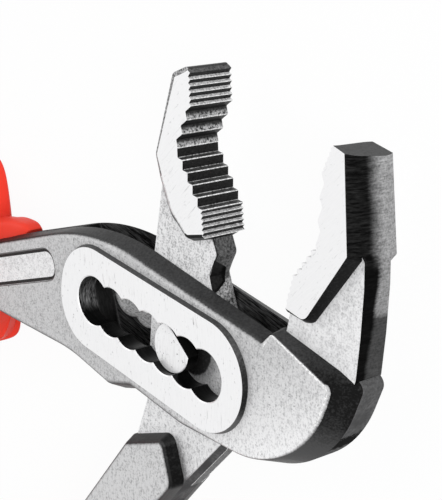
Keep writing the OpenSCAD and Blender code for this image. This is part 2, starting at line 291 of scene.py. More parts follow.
def cut_paint(w):
    """Broached and milled walls: dark, with tool marks round the slot and along the mortise. They are
    brighter, with stronger marks, on the walls at the handle's end of the slot, and on the walls of the
    rear cheek's lobes that face up, light is painted in as a grainy light grey."""
    height = w.axis(w.place(), "Z") - MID_Z
    facing = w.node("TexCoord", out="Normal")
    grain = w.noise(w.place(), 0.5, 2, 0.6)
    end = w.axis(facing, "X").between(0.55, 0.95) * height.between(1.5, 3)
    # Painted light: the lobe walls of the rear cheek that face up, deep in the slot, are light grey
    rear = w.axis(facing, "Y").between(0.15, 0.6) * (0 - height).between(2, 4)
    flat = abs(w.axis(facing, "Z")).between(0.6, 0.9)
    round_marks = (w.noise(w.place((0.5, 0.5, 2.6)), 1, 3, 0.75) - 0.38) * (0.12 + end * 2.8)
    long_marks = (w.noise(w.place((0.22, 2.8, 1), -6), 1, 3, 0.75) - 0.42) * flat * 2.2
    marks = w.maths("ADD", round_marks, long_marks, clamp=True)
    wall = w.blend(marks, (0.004, 0.004, 0.004), (0.34, 0.34, 0.343))
    return {
        "Base Color": w.blend(rear * (grain - 0.15) * 2.2, wall, (0.70, 0.70, 0.705)),
        "Metallic": 0.7 - rear * 0.6,
        "Specular IOR Level": 0.15,
        "Roughness": 0.38,
        "Normal": w.bump(grain, 0.3, 0.07),
    }


def tooth_paint(low, high, valley=None):
    """A flank or crest of the teeth: dark pits and worn grains, and all dark where valley(w) is 1, which is
    painted shade and dirt.
    """

    def paint(w):
        grain = w.noise(w.place(), 0.45, 2, 0.6)
        worn = (grain - 0.33) * 3.2
        if valley:
            worn = worn.between(0, 1) * (1 - valley(w) * 0.95)
        return {
            "Base Color": w.blend(worn, low, high),
            "Metallic": 0.45,
            "Specular IOR Level": 0.2,
            "Roughness": 0.45,
            "Normal": w.bump(grain, 0.4, 0.08),
        }

    return paint


def back_paint(w):
    """Back of the jaw and of its web: dark skin along the front edge, in a strip that narrows down the web,
    and brushed across behind it; the brush marks are real, and their grey, which covers only the rear half,
    is painted reflection. It is darker again at the foot of the web."""
    spot = w.place()
    height = w.axis(spot, "Y")
    depth = MID_Z - w.axis(spot, "Z")
    brush = w.noise(w.place((0.4, 3.2, 0.4)), 1, 3, 0.7)
    grain = w.noise(spot, 0.5, 2, 0.6)
    cloud = w.noise(spot, 6, 2)
    # Painted reflection: grey only behind the middle of the thickness, dark skin in front
    behind = depth + (brush - 0.5) * 0.7 + (cloud - 0.5) * 1.4
    web = 1 - height.between(35, 38)
    narrower = w.maths("MAXIMUM", 34 - height, 0) * 0.08
    share = behind.between(-1.9, 2.6) * (1 - web) + (behind + narrower).between(-0.5, 0.9) * web * 0.8
    foot = 1 - (height + (cloud - 0.5) * 2).between(26, 27.5)
    grey = w.blend((brush + grain - 0.75) * 1.4, (0.18, 0.18, 0.181), (0.56, 0.56, 0.565))
    brushed = w.blend(foot * 0.84, grey, (0.02, 0.02, 0.02))
    dark = w.blend((brush - 0.4) * (1.5 - web * 1.2), (0.003, 0.003, 0.003), (0.045, 0.045, 0.045))
    shine = 0.55 - web * 0.5
    return {
        "Base Color": w.blend(share, dark, brushed),
        "Metallic": shine + share * (0.7 - shine),
        "Specular IOR Level": 0.0,
        "Roughness": 0.38,
        "Normal": w.bump(brush, 0.25, 0.06),
    }


def ridge_paint(w):
    """Trimmed flash line round the box: rubbed grey, with a black patch left under the nose."""
    spot = w.place()
    grain = w.noise(spot, 0.6, 3, 0.65)
    ragged = (w.noise(spot, 0.8, 4, 0.75) - 0.5) * 7
    patch_x, patch_y = 44.1, 0.5
    off_x, off_y = abs(w.axis(spot, "X") - patch_x), abs(w.axis(spot, "Y") - patch_y)
    patch = 1 - (off_x + off_y + ragged).between(2.4, 3.8)
    cloud = w.noise(spot, 7, 2).between(0.3, 0.7)
    grey = w.blend((grain - 0.3) * 1.6 * cloud, (0.06, 0.06, 0.061), (0.21, 0.21, 0.212))
    return {
        "Base Color": w.blend(patch, grey, (0.006, 0.006, 0.006)),
        "Metallic": 0.1,
        "Specular IOR Level": 0.0,
        "Roughness": 0.5,
        "Normal": w.bump(grain, 0.3, 0.06),
    }


FINISHES = {}


def keep_finishes(**paints):
    """Makes each finish under its name. A shell holds all of them, in this order."""
    for name, paint in paints.items():
        FINISHES[name] = finish(name, paint)


keep_finishes(
    boss_ground=ground_paint(12, 1.0, 0.18),
    flank_ground=ground_paint(-38, 0.5, 0.12),
    box_face=blasted_paint(0.61, 0.98, 1.2),
    web_face=blasted_paint(0.86, 0.86, 0.9),
    forged_wall=skin_paint(SCALE_SKIN, WORN_AND_LIT_SKIN),
    boss_wall=skin_paint((0.012, 0.012, 0.012), (0.10, 0.10, 0.101)),
    rubbed_edge=tooth_paint((0.5, 0.5, 0.502), (0.95, 0.95, 0.95)),
    cut_wall=cut_paint,
    tooth_light=tooth_paint((0.34, 0.34, 0.343), (0.97, 0.97, 0.975)),
    tooth_mid=tooth_paint((0.025, 0.025, 0.025), (0.46, 0.46, 0.464)),
    tooth_grey=tooth_paint((0.02, 0.02, 0.02), (0.13, 0.13, 0.131)),
    tooth_dark=tooth_paint((0.002, 0.002, 0.002), (0.013, 0.013, 0.013)),
    jaw_back=back_paint,
    flash_ridge=ridge_paint,
)


def corner(a, p, b, r):
    """Points round a corner of an outline, between its neighbours a and b."""
    a, p, b = Vector(a[:2]), Vector(p[:2]), Vector(b[:2])
    u, v = (a - p).normalized(), (b - p).normalized()
    half = math.acos(u.dot(v)) / 2
    centre = p + (u + v).normalized() * (r / math.sin(half))
    first = p + u * (r / math.tan(half)) - centre
    last = p + v * (r / math.tan(half)) - centre
    turn = math.atan2(first.y, first.x)
    sweep = (math.atan2(last.y, last.x) - turn + 3 * math.pi) % math.tau - math.pi
    steps = 24 if r > 9 else 8
    turns = [turn + sweep * i / steps for i in range(steps + 1)]
    return [(centre.x + r * math.cos(t), centre.y + r * math.sin(t)) for t in turns]


def rounded(outline):
    """An outline of (x, y) and (x, y, radius) corners as points."""
    points = []
    for i, p in enumerate(outline):
        after = outline[(i + 1) % len(outline)]
        points += corner(outline[i - 1], p, after, p[2]) if len(p) > 2 else [tuple(p)]
    return points


def inset(points, depth):
    """The outline moved in by a depth, or out by a negative one. A list gives each point its own depth."""
    sharpest = 0.35
    count = len(points)
    depths = depth if isinstance(depth, list) else [depth] * count
    area = sum(points[i - 1][0] * points[i][1] - points[i][0] * points[i - 1][1] for i in range(count))
    side = 1 if area > 0 else -1
    moved = []
    for i in range(count):
        before, here, after = (Vector(points[k % count]) for k in (i - 1, i, i + 1))
        u, v = (here - before).normalized(), (after - here).normalized()
        n, m = Vector((-u.y, u.x)) * side, Vector((-v.y, v.x)) * side
        way = (n + m).normalized()
        moved.append(tuple(here + way * (depths[i] / max(sharpest, way.dot(n)))))
    return moved


def lerp(first, second, share):
    """The outline that lies a share of the way from the first to the second."""
    return [tuple(a + (b - a) * share for a, b in zip(p, q)) for p, q in zip(first, second)]


def at(points, z):
    """An outline as a ring at one level."""
    return [(x, y, z) for x, y in points]


def loft(rings, kinds, caps):
    """A closed shell over rings of points. kinds names the finish of each strip, as a list or as a
    function of the strip and the place round it; caps names the finish of the first and the last end."""
    pick = kinds if callable(kinds) else lambda strip, i: kinds[strip]
    names = list(FINISHES)
    shape = bmesh.new()
    made = [[shape.verts.new((x * MM, y * MM, (z + MID_Z) * MM)) for x, y, z in ring] for ring in rings]
    count = len(rings[0])
    for strip, (a, b) in enumerate(zip(made, made[1:])):
        for i in range(count):
            j = (i + 1) % count
            shape.faces.new((a[i], a[j], b[j], b[i])).material_index = names.index(pick(strip, i))
    for ring, kind in zip((made[0][::-1], made[-1]), caps):
        shape.faces.new(ring).material_index = names.index(kind)
    bmesh.ops.recalc_face_normals(shape, faces=shape.faces)
    mesh = bpy.data.meshes.new("shell")
    shape.to_mesh(mesh)
    shape.free()
    for material in FINISHES.values():
        mesh.materials.append(material)
    shell = bpy.data.objects.new("shell", mesh)
    bpy.context.scene.collection.objects.link(shell)
    return shell


def slab(front, kinds, cap):
    """A shell that is the same on both sides of the mid-plane, from its rings in front, middle first.
    Strip 0 crosses the middle, and the last one ends at the face."""
    pick = kinds if callable(kinds) else lambda strip, i: kinds[strip]
    back = [[(x, y, -z) for x, y, z in ring] for ring in front[::-1]]
    middle = len(front) - 1
    return loft(back + front, lambda strip, i: pick(abs(strip - middle), i), (cap, cap))


def forged_rings(face, ridge, face_level, ridge_level, soft):
    """Rings of a drafted wall from its ridge up to a face. soft is the softness of its edge at each point,
    and each step of the edge is a share of it, down from the face and inwards."""
    steps = ((0.81, 0.0), (0.47, 0.067), (0.214, 0.264), (0.054, 0.58), (0.0, 1.0))
    rings = [at(ridge, ridge_level)]
    for below, inward in steps:
        drops = [s * below for s in soft]
        shares = [drop / (face_level - ridge_level) for drop in drops]
        wall = [(a + (c - a) * k, b + (d - b) * k) for (a, b), (c, d), k in zip(face, ridge, shares)]
        moved = inset(wall, [s * inward for s in soft])
        rings.append([(x, y, face_level - drop) for (x, y), drop in zip(moved, drops)])
    return rings


def joined(piece_name, shells, cutters):
    """One piece: the shells run together, less the cutters, with only the finishes that it shows."""
    weld, crease = 2e-6, math.radians(34)
    whole = shells[0]
    for operation, tools in (("UNION", shells[1:]), ("DIFFERENCE", cutters)):
        for tool in tools:
            cut = whole.modifiers.new("cut", "BOOLEAN")
            cut.operation, cut.object, cut.solver = operation, tool, "EXACT"
    bpy.context.view_layer.update()
    made = whole.evaluated_get(bpy.context.evaluated_depsgraph_get())
    mesh = bpy.data.meshes.new_from_object(made)
    mesh.name = piece_name
    for shell in shells + cutters:
        bpy.data.objects.remove(shell)
    shape = bmesh.new()
    shape.from_mesh(mesh)
    bmesh.ops.remove_doubles(shape, verts=shape.verts, dist=weld)
    bmesh.ops.dissolve_degenerate(shape, dist=weld, edges=shape.edges)
    shown = sorted({face.material_index for face in shape.faces})
    for face in shape.faces:
        face.smooth = True
        face.material_index = shown.index(face.material_index)
    mesh.materials.clear()
    for index in shown:
        mesh.materials.append(list(FINISHES.values())[index])
    shape.to_mesh(mesh)
    shape.free()
    mesh.set_sharp_from_angle(angle=crease)
    piece = bpy.data.objects.new(piece_name, mesh)
    bpy.context.scene.collection.objects.link(piece)
    piece.modifiers.new("flat_faces", "WEIGHTED_NORMAL").keep_sharp = True
    return piece


def walk(path, start, angle, s):
    """Place and direction after s millimetres along a handle line."""
    x, y = start
    for k, (run, turn) in enumerate(path):
        part = s if k == len(path) - 1 else min(s, run)
        bend = math.radians(turn * part / run)
        chord = part if abs(bend) < 1e-5 else part * math.sin(bend / 2) / (bend / 2)
        middle = math.radians(angle) + bend / 2
        x, y = x + chord * math.cos(middle), y + chord * math.sin(middle)
        angle += math.degrees(bend)
        s -= part
        if abs(s) < 1e-9:
            break
    return x, y, math.radians(angle)


def beside(line, s, n):
    """A point s along a handle line and n to its side."""
    x, y, heading = walk(*line, s)
    return x + n * math.sin(heading), y - n * math.cos(heading)


def box_outline(out, top_left, low_left, handle_out):
    """The box with its bare handle: its face, and moved out by the draft, its ridge. top_left and low_left
    are the widths of the handle above and below its line."""
    return rounded([
        beside(OUTER_LINE, OUTER_FROM + SHANK_END, -low_left),
        beside(OUTER_LINE, OUTER_FROM + IN_GRIP, -low_left),
        (BOSS_LEFT + 3.3, -CHEEK_LOW - 2 - handle_out, 40),
        (LOBES[0] + 6 + out * 0.9, -CHEEK_LOW - 3.3 - handle_out, 2.5),
        (LOBES[0] + 13.4 + out * 0.2, -CHEEK_LOW - out * 0.7, 1.5),
        (6, -CHEEK_LOW - 0.6 - out * 0.6, 20),
        (HEAD_X + 13.4 + out * 1.35, -CHEEK_LOW + 3.7 + out * 0.85, NOSE_R),
        (HEAD_X + 15.7 + out * 2.3, HEAD_Y - 1.8 + out * 1.05, 1.8),
        (HEAD_X - 0.2, HEAD_Y + 1.9 + out * 0.3, 1.2),
        (HEAD_X - 2.7 + out / 6, HEAD_Y - 1.2 + out / 2, 0.8),
        (BOSS_LEFT + 5.8 + out * 1.6, HEAD_Y + 0.1 + out, 58),
        beside(OUTER_LINE, OUTER_FROM + IN_GRIP, top_left),
        beside(OUTER_LINE, OUTER_FROM + SHANK_END, top_left),
    ])


def box_shell():
    """The box, with a soft edge except round the head, where a crisp one is rubbed bright; its light finish
    there is wear and a painted highlight as well.
    """
    face = box_outline(0, 6.1, 6.9, 0)
    ridge = box_outline(EDGE_DRAFT, 7.3, 7.9, 1)
    head = [min(1, max(0, (x - HEAD_X + 1) * 10 if y > 0 else (x - 14) / 14)) for x, y in face]
    soft = [FORGED_EDGE * (1 - 0.6 * h) for h in head]
    rings = forged_rings(face, ridge, CHEEK_LEVEL, MORTISE_LEVEL, soft)

    def kind(strip, i):
        if strip < 2:
            return ("flash_ridge", "forged_wall")[strip]
        # The crisp edge round the head is light from wear and from a painted highlight
        return "rubbed_edge" if strip > 3 and head[i] == 1 and face[i][1] > 2 else "box_face"

    return slab(rings, kind, "box_face")


def boss_outline(out):
    """The boss, and moved out by its draft, its foot."""
    return rounded([
        (BOSS_LEFT - out, -BOSS_HALF + 0.7 - out, 10.5),
        (BOSS_RIGHT + out, -BOSS_HALF + 0.5 - out, 11.3),
        (BOSS_RIGHT + out, BOSS_HALF + out, 11.3),
        (BOSS_LEFT - out, BOSS_HALF - 0.7 + out, 10.5),
    ])


def boss_shell():
    """The raised boss round the slot, the same on both cheeks."""
    rings = [at(boss_outline(BOSS_DRAFT), BOSS_FOOT), at(boss_outline(0), BOSS_LEVEL)]
    return slab(rings, ["boss_wall", "boss_wall"], "boss_ground")


def web_shell():
    """The thin plate that carries the jaw, down into the box."""
    edge = 0.3
    outline = [
        (HEAD_X, HEAD_Y - 8), (HEAD_X + 12, HEAD_Y - 10), (HEAD_X + 18.8, HEAD_Y - 4),
        (HEAD_X + 19.5, HEAD_Y + 1), (HEAD_X + 18.8, HEAD_Y + 9), (HEAD_X + 17.6, HEAD_Y + 18),
        (HEAD_X + 16.6, HEAD_Y + 22.8), (HEAD_X + 12, HEAD_Y + 27), (HEAD_X + 8, HEAD_Y + 25),
        (HEAD_X + 1, HEAD_Y + 7.4),
    ]
    rings = [at(outline, WEB_LEVEL - edge), at(inset(outline, edge), WEB_LEVEL)]
    return slab(rings, ["jaw_back", "jaw_back"], "web_face")


def teeth(a, b, count, depth):
    """Saw teeth from a to b: worn crests on the line, blunt valleys to its left."""
    a, b = Vector(a), Vector(b)
    step = (b - a) / count
    left = Vector((-step.y, step.x)).normalized() * depth
    return [tuple(a + step * (i + run) + left * sink) for i in range(count) for run, sink in SAW]


def tooth_rows(line, counts, depths):
    """The four rows of a jaw's teeth, from corner to corner of its line."""
    return [p for k in range(4) for p in teeth(line[k], line[k + 1], counts[k], depths[k])]


def tooth_kinds(counts, rows):
    """Finishes round the teeth: each row names those of its crest, first flank, valley and second flank."""
    return [kind for count, row in zip(counts, rows) for i in range(count) for kind in row]


def outer_jaw_outline(low, side, rear):
    """The jaw at one level, moved out by low at its foot, by side at its back, and by rear as well."""
    return rounded([
        (HEAD_X + 1, HEAD_Y + 7.5 - low),
        (HEAD_X + 6.5 + side / 2, HEAD_Y + 7.5 - low, 2.5),
        (HEAD_X + 14.3 + side + 0.9 * rear, HEAD_Y + 23.6 - side / 2 - 1.2 * rear, 0.6),
        (HEAD_X + 8.9 + side * 0.8 + 0.8 * rear, HEAD_Y + 42.2),
        *tooth_rows(OUTER_TEETH, OUTER_COUNTS, TOOTH_DEPTHS),
    ])


def outer_jaw_shell():
    """The jaw: a back that bulges a little, and flanks that come together towards the teeth."""
    edge = 0.14
    row = ("rubbed_edge", "tooth_light", "tooth_light", "rubbed_edge")
    tooth = tooth_kinds(OUTER_COUNTS, [row] * len(OUTER_COUNTS))
    first = len(outer_jaw_outline(0, 0, 0)) - len(tooth)
    bevel = [edge] * first + [TOOTH_EDGE] * len(tooth)

    def level(z):
        bulge = 1.1 * (1 - (abs(z) / CHEEK_LEVEL) ** 3.2)
        rear = (0.5 - z / 12) * (1 if z < 0 else 0.5)
        return outer_jaw_outline(1.2 * min(1, bulge), 1.4 * bulge, max(0, rear))

    def flank(side):
        outline = level(side * 5.6)
        lift = [min(CHEEK_LEVEL, JAW_LEVEL + (x - HEAD_X - 6) * 0.1) for x, y in outline]
        below = [(x, y, side * (z - edge)) for (x, y), z in zip(outline, lift)]
        top = [(x, y, side * z) for (x, y), z in zip(inset(outline, bevel), lift)]
        return [below, top]

    bulging = [at(level(z), z) for z in (-4, -3, -1.5, 0, 1.5, 3, 4)]
    rings = flank(-1)[::-1] + bulging + flank(1)
    middle = level(0)

    def kind(strip, i):
        x, y = middle[i]
        if i >= first:
            return tooth[i - first]
        return "jaw_back" if x > HEAD_X + 8 and y > HEAD_Y + 20 else "forged_wall"

    return loft(rings, kind, ("flank_ground", "flank_ground"))


def prism(points, low, high, kind):
    """A straight shell of one finish between two levels."""
    return loft([at(points, low), at(points, high)], [kind], (kind, kind))


def slot_cutter():
    """The row of lobes as one closed line of arcs, with its mouths broken at the bosses."""
    cusp = math.acos(SLOT_PITCH / 2 / LOBE_R)
    steps, flare = 15, 0.22
    points = []
    for half, row in ((0, LOBES[::-1]), (1, LOBES)):
        for k, centre in enumerate(row):
            first = 0 if k == 0 else cusp
            last = math.pi if k == len(row) - 1 else math.pi - cusp
            for i in range(steps):
                turn = first + (last - first) * i / steps + half * math.pi
                points.append((centre + LOBE_R * math.cos(turn), LOBE_R * math.sin(turn)))
    rings = [at(points, BOSS_LEVEL - flare), at(inset(points, -2 * flare), BOSS_LEVEL + flare)]
    return slab(rings, ["cut_wall", "boss_ground"], "cut_wall")


def panel_cutter(side):
    """The recessed panel of the handle, left bare, with a fillet round its floor that is painted near-black
    as shade.
    """
    end = OUTER_FROM + SHANK_END + 1
    outline = rounded([
        (*beside(OUTER_LINE, PANEL_FROM, -PANEL_HALF), 2.6),
        (*beside(OUTER_LINE, PANEL_FROM, PANEL_HALF), 3.3),
        (*beside(OUTER_LINE, end, PANEL_HALF), 0.4),
        (*beside(OUTER_LINE, end, -PANEL_HALF), 0.4),
    ])
    rings = [
        at(inset(outline, 0.7), PANEL_LEVEL),
        at(outline, PANEL_LEVEL + 0.25),
        at(inset(outline, -0.6), CHEEK_LEVEL + 0.3),
    ]
    rings = [[(x, y, z * side) for x, y, z in ring] for ring in rings]
    # The near-black fillet is painted shade along the edge of the recess
    return loft(rings, ["tooth_dark", "box_face"], ("web_face", "web_face"))


def tip_cutter():
    """The plane that the tip of the jaw is trimmed to, which leans a little."""
    reach = 40
    square = [(-reach, 0), (reach, 0), (reach, reach), (-reach, reach)]
    cutter = prism(square, -reach, reach, "forged_wall")
    middle = Vector((0, 0, MID_Z * MM))
    cutter.data.transform(
        Matrix.Translation(Vector((HEAD_X + 6.4, HEAD_Y + 40.8, JAW_LEVEL)) * MM + middle)
        @ Matrix.Rotation(math.radians(TIP_TURN), 4, "Z")
        @ Matrix.Rotation(math.radians(TIP_LEAN), 4, "X")
        @ Matrix.Translation(-middle)
    )
    return cutter


# The mortise runs right through the box, between the two cheeks
mortise = [
    (LOBES[0] + 7.5, -2 * CHEEK_LOW), (HEAD_X, -2 * CHEEK_LOW),
    (HEAD_X, 2 * HEAD_Y), (LOBES[0] - 21, 2 * HEAD_Y),
]
outer_limb = joined(
    "outer_limb_forging",
    [box_shell(), boss_shell(), web_shell(), outer_jaw_shell()],
    [
        prism(mortise, -MORTISE_LEVEL, MORTISE_LEVEL, "cut_wall"),
        slot_cutter(), panel_cutter(1), panel_cutter(-1), tip_cutter(),
    ],
)
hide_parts("outer_limb")
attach(outer_limb, "outer_half")

# Inner limb: the second forging, of the same steel. Its thin tongue passes through the mortise and holds
# the bolt, its jaw faces the outer one, and its handle is as thick as the box. It is finished like the
# outer limb, and its side shows the trimmed flash line below the box.
TONGUE_LEVEL, FLASH_LEVEL, TONGUE_DRAFT, JAW_EDGE = 2.6, 1.55, 1.4, 0.6
INNER_LINE = ([(16.0, 0.0), (36.0, 27.0), (112.0, -8.0)], (-4.1, -33.2), 235.0)
INNER_FROM = 30.0
# Two corners of the step from the tongue up to the handle
STEP_HIGH, STEP_LOW = (1.3, -CHEEK_LOW - 7.7), (5.8, -CHEEK_LOW - 15.9)
INNER_TEETH = [(5.2, 26.0), (3.6, 31.2), (-5.7, 40.5), (-3.3, 49.8), (-5.2, 57.0)]
INNER_COUNTS, INNER_DEPTHS = (5, 5, 3, 6), (0.6, 1.0, 1.0, 0.6)


def tongue_painted_shadows(w):
    """Painted shadows on the tongue, in the dark colour of the skin: the bolt's shadow beside it, and the
    shadow of the step up to the handle in the corner below that step."""
    spot = w.place()
    x, y = w.axis(spot, "X"), w.axis(spot, "Y")
    # Painted shadow of the bolt, falling to its right on the tongue
    patch_x, patch_y = 3.4, 0.9
    off_x, off_y = x - patch_x, y - patch_y
    bolt = w.maths("SQRT", off_x * off_x + off_y * off_y) + (w.noise(spot, 1.2, 3, 0.7) - 0.5) * 0.8
    bolt_shadow = 1 - bolt.between(5.2, 5.8) * 0.3 - bolt.between(5.4, 10.5) * 0.7
    # Painted shadow of the step up to the handle, in the corner below it
    run = (Vector(STEP_LOW) - Vector(STEP_HIGH)).normalized()
    step = (y - STEP_HIGH[1]) * run.x - (x - STEP_HIGH[0]) * run.y
    step_shadow = 1 - (step + (w.noise(spot, 0.7, 3, 0.75) - 0.5) * 5).between(0.2, 3.8)
    down = ((x - STEP_HIGH[0]) * run.x + (y - STEP_HIGH[1]) * run.y).between(-1.5, 3)
    return w.maths("MAXIMUM", bolt_shadow, step_shadow * down * 0.75)


def coarse_valley_shade_and_dirt(w):
    """Painted shade and dirt in the valleys of the coarse row: 0 at its crests, 1 in its valleys."""
    spot = w.place()
    start = Vector(INNER_TEETH[2])
    step = (Vector(INNER_TEETH[3]) - start) / INNER_COUNTS[2]
    across = (w.axis(spot, "X") - start.x) * (step.x / step.length_squared)
    along = (w.axis(spot, "Y") - start.y) * (step.y / step.length_squared)
    ragged = (w.noise(spot, 0.5, 3, 0.7) - 0.5) * 0.12
    return (w.maths("FRACT", across + along) + ragged).between(0.1, 0.34)


keep_finishes(
    tongue_face=blasted_paint(0.84, 0.84, 1.5, tongue_painted_shadows),
    coarse_flank=tooth_paint((0.008, 0.008, 0.008), (0.52, 0.52, 0.524), coarse_valley_shade_and_dirt),
    handle_face=blasted_paint(0.66, 0.66, 1.6),
    handle_wall=skin_paint((0.002, 0.002, 0.002), (0.04, 0.04, 0.04)),
)


def tongue_outline(out):
    """The tongue and the neck: their face, and moved out by the draft, the ridge of their sides."""
    return rounded([
        (-10.4, -28),
        (6.2 + out * 0.8, -28.8 - out * 0.55),
        (14.95 + out * 0.8, -15.2 - out * 0.55, 1),
        (13.4, -1, 6),
        (9.5, 11, 5),
        (5.3 + out * 0.6, 17.9 - out * 0.6, 1.2),
        (5.85 + out * 0.2, 19.9 - out * 0.2),
        (6.7, 22.6, 1.5),
        (4.6, 25.6),
        (-1, 32),
        (-12, 33),
        (-11.8, 16, 8),
        (-8.3, -16.5, 8),
    ])


def tongue_shell():
    """The tongue and the neck, with the raised flash line along their sides."""
    edge, line = 0.2, 0.2
    face, ridge = tongue_outline(0), tongue_outline(TONGUE_DRAFT)
    rings = [
        at(ridge, FLASH_LEVEL - line), at(ridge, FLASH_LEVEL),
        at(lerp(face, ridge, 0.1), TONGUE_LEVEL - edge), at(inset(face, edge), TONGUE_LEVEL),
    ]

    def kind(strip, i):
        if strip == 3:
            return "tongue_face"
        if face[i][1] > 0:
            return "tooth_grey" if face[i][1] > 15 else "tooth_mid"
        return ("tooth_grey", "tooth_light", "flash_ridge")[strip]

    return slab(rings, kind, "tongue_face")


def neck_pocket_cutter():
    """The pocket in the front of the neck, all near-black, wider towards the front."""
    rear = [(5.6, 19.3), (5.5, 17.4), (6.0, 16.4), (10, 16.4), (10, 19.3)]
    front = [(6.0, 21.6), (5.3, 17.4), (7.0, 14.2), (10, 14.2), (10, 21.6)]
    rings = [at(rear, -0.7), at(front, TONGUE_LEVEL + 0.5)]
    return loft(rings, ["tooth_dark"], ("tooth_dark", "tooth_dark"))


def inner_jaw_outline(low, side):
    """The jaw's flank, and moved out by low at its foot and by side at its back, its base."""
    return rounded([
        (-low / 2, 24 - low, 1.5),
        (4.5 + low / 6, 25.9 - low / 2),
        *tooth_rows(INNER_TEETH, INNER_COUNTS, INNER_DEPTHS),
        (INNER_TEETH[-1][0] - 1, INNER_TEETH[-1][1] - 0.3, 0.9),
        (-10, 54.2, 1.2),
        (-12.1 - side / 10, 37, 2),
        (-9.7 - side, 33.2 - side * 0.9, 1.5),
        (-5.5 - side, 27.4 - side, 5),
    ])


def inner_jaw_shell():
    """The jaw, with a rough bevel round its flanks except along the teeth."""
    face, base = inner_jaw_outline(0, 0), inner_jaw_outline(1.4, 2.4)
    # Painted light and shade on the teeth: flanks that face up are light as if lit, and valleys and flanks
    # that face down are dark as shade; in the coarse row the dark valleys are shade and dirt.
    fine = ("rubbed_edge", "tooth_light", "tooth_dark", "tooth_dark")
    rise = ("tooth_light", "tooth_grey", "tooth_mid", "tooth_dark")
    coarse = ("tooth_light", "coarse_flank", "tooth_dark", "tooth_dark")
    tooth = tooth_kinds(INNER_COUNTS, [fine, rise, coarse, fine])
    tooth[-len(SAW):] = ["tooth_grey"] * len(SAW)
    first = face.index(tooth_rows(INNER_TEETH, INNER_COUNTS, INNER_DEPTHS)[0])
    toothed = range(first, first + len(tooth))
    bevel = [JAW_EDGE * (1.6 if y > 52 else 1) for x, y in face]
    bevel[first:first + len(tooth)] = [TOOTH_EDGE] * len(tooth)
    rings = [
        at(base, TONGUE_LEVEL),
        at(lerp(face, base, 0.1), JAW_LEVEL - 0.25),
        at(inset(face, bevel), JAW_LEVEL),
    ]

    def kind(strip, i):
        if i in toothed:
            return tooth[i - first]
        if face[i][0] < -3 and face[i][1] < 36:
            return "tongue_face"
        return "tooth_mid" if strip == 2 and face[i][1] > 35 else "forged_wall"

    return slab(rings, kind, "flank_ground")


def inner_handle_outline(out):
    """The bare handle: its face, and moved out by the draft, its ridge."""
    return rounded([
        (-9.8 - out * 0.5, -CHEEK_LOW - 14 + out * 0.4, 1.5),
        beside(INNER_LINE, INNER_FROM + IN_GRIP, 6.7 + out / 3),
        beside(INNER_LINE, INNER_FROM + SHANK_END, 6.7 + out / 3),
        beside(INNER_LINE, INNER_FROM + SHANK_END, -6.7 - out / 3),
        beside(INNER_LINE, INNER_FROM + IN_GRIP, -6.7 - out / 3),
        (STEP_LOW[0] + out * 0.35, STEP_LOW[1] + out * 0.15, 3),
        (STEP_HIGH[0], STEP_HIGH[1] + out * 0.65, 1.2 + out * 0.5),
    ])


def inner_handle_shell():
    """The handle, whose end steps up from the tongue."""
    face, ridge = inner_handle_outline(0), inner_handle_outline(EDGE_DRAFT)
    rings = forged_rings(face, ridge, CHEEK_LEVEL, TONGUE_LEVEL, [FORGED_EDGE] * len(face))
    return slab(rings, ["flash_ridge", "handle_wall"] + ["handle_face"] * 4, "handle_face")


bolt_low, bolt_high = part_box("pivot_bolt")
BOLT_R, BOLT_SIDES = (bolt_high.y - bolt_low.y) / 2 / MM, 96
bore_turns = [math.tau * i / BOLT_SIDES for i in range(BOLT_SIDES)]
bore = [(BOLT_R * math.cos(turn), BOLT_R * math.sin(turn)) for turn in bore_turns]
inner_limb = joined(
    "inner_limb_forging",
    [tongue_shell(), inner_jaw_shell(), inner_handle_shell()],
    [prism(bore, -BOSS_LEVEL, BOSS_LEVEL, "cut_wall"), neck_pocket_cutter()],
)
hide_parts("inner_limb")
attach(inner_limb, "inner_half")

# Pivot bolt: a hardened steel pin pressed through the tongue, with a flat on each end so that it can slide
# along the slot when the limbs are opened wide. Its ends are ground, its sides are blackened.
BOLT_LEVEL = (bolt_high.z - bolt_low.z) / 2 / MM
BOLT_TURN, SLIDE_CLEARANCE = 31.0, 0.6
BOLT_FLAT = 2 * math.sqrt(LOBE_R ** 2 - SLOT_PITCH ** 2 / 4) - SLIDE_CLEARANCE - BOLT_R

keep_finishes(
    bolt_end=ground_paint(10, 3.2, 0.9),
    bolt_side=skin_paint((0.003, 0.003, 0.003), (0.02, 0.02, 0.02)),
)


def bolt_end_shell(side):
    """One end of the bolt: a circle with a flat, its edge broken."""
    reach, steps, edge = math.asin(BOLT_FLAT / BOLT_R), 72, 0.15
    first, sweep, back = math.pi - reach, math.pi + 2 * reach, math.radians(BOLT_TURN)
    turns = [first + sweep * i / steps - back for i in range(steps + 1)]
    outline = [(BOLT_R * math.cos(turn), BOLT_R * math.sin(turn)) for turn in turns]
    rings = [
        at(outline, 0),
        at(outline, side * (BOLT_LEVEL - edge)),
        at(inset(outline, edge), side * BOLT_LEVEL),
    ]
    return loft(rings, ["bolt_side", "bolt_end"], ("bolt_side", "bolt_end"))


pivot_bolt = joined(
    "pivot_bolt_pin",
    [prism(bore, -TONGUE_LEVEL, TONGUE_LEVEL, "bolt_side"), bolt_end_shell(1), bolt_end_shell(-1)],
    [],
)
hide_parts("pivot_bolt")
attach(pivot_bolt, "inner_half")

# Grips: insulating sleeves of red plastic, moulded over the shanks, each with a collar over the forging and
# a tall slip guard behind it.
GRIP_LEN, COLLAR_LEN, GUARD_LEN = 134.0, 14.0, 7.0
GUARD_RISE, LIP_RISE, GRIP_HALF_T, GRIP_HALF_W = 27.4, 18.0, 9.0, 11.5


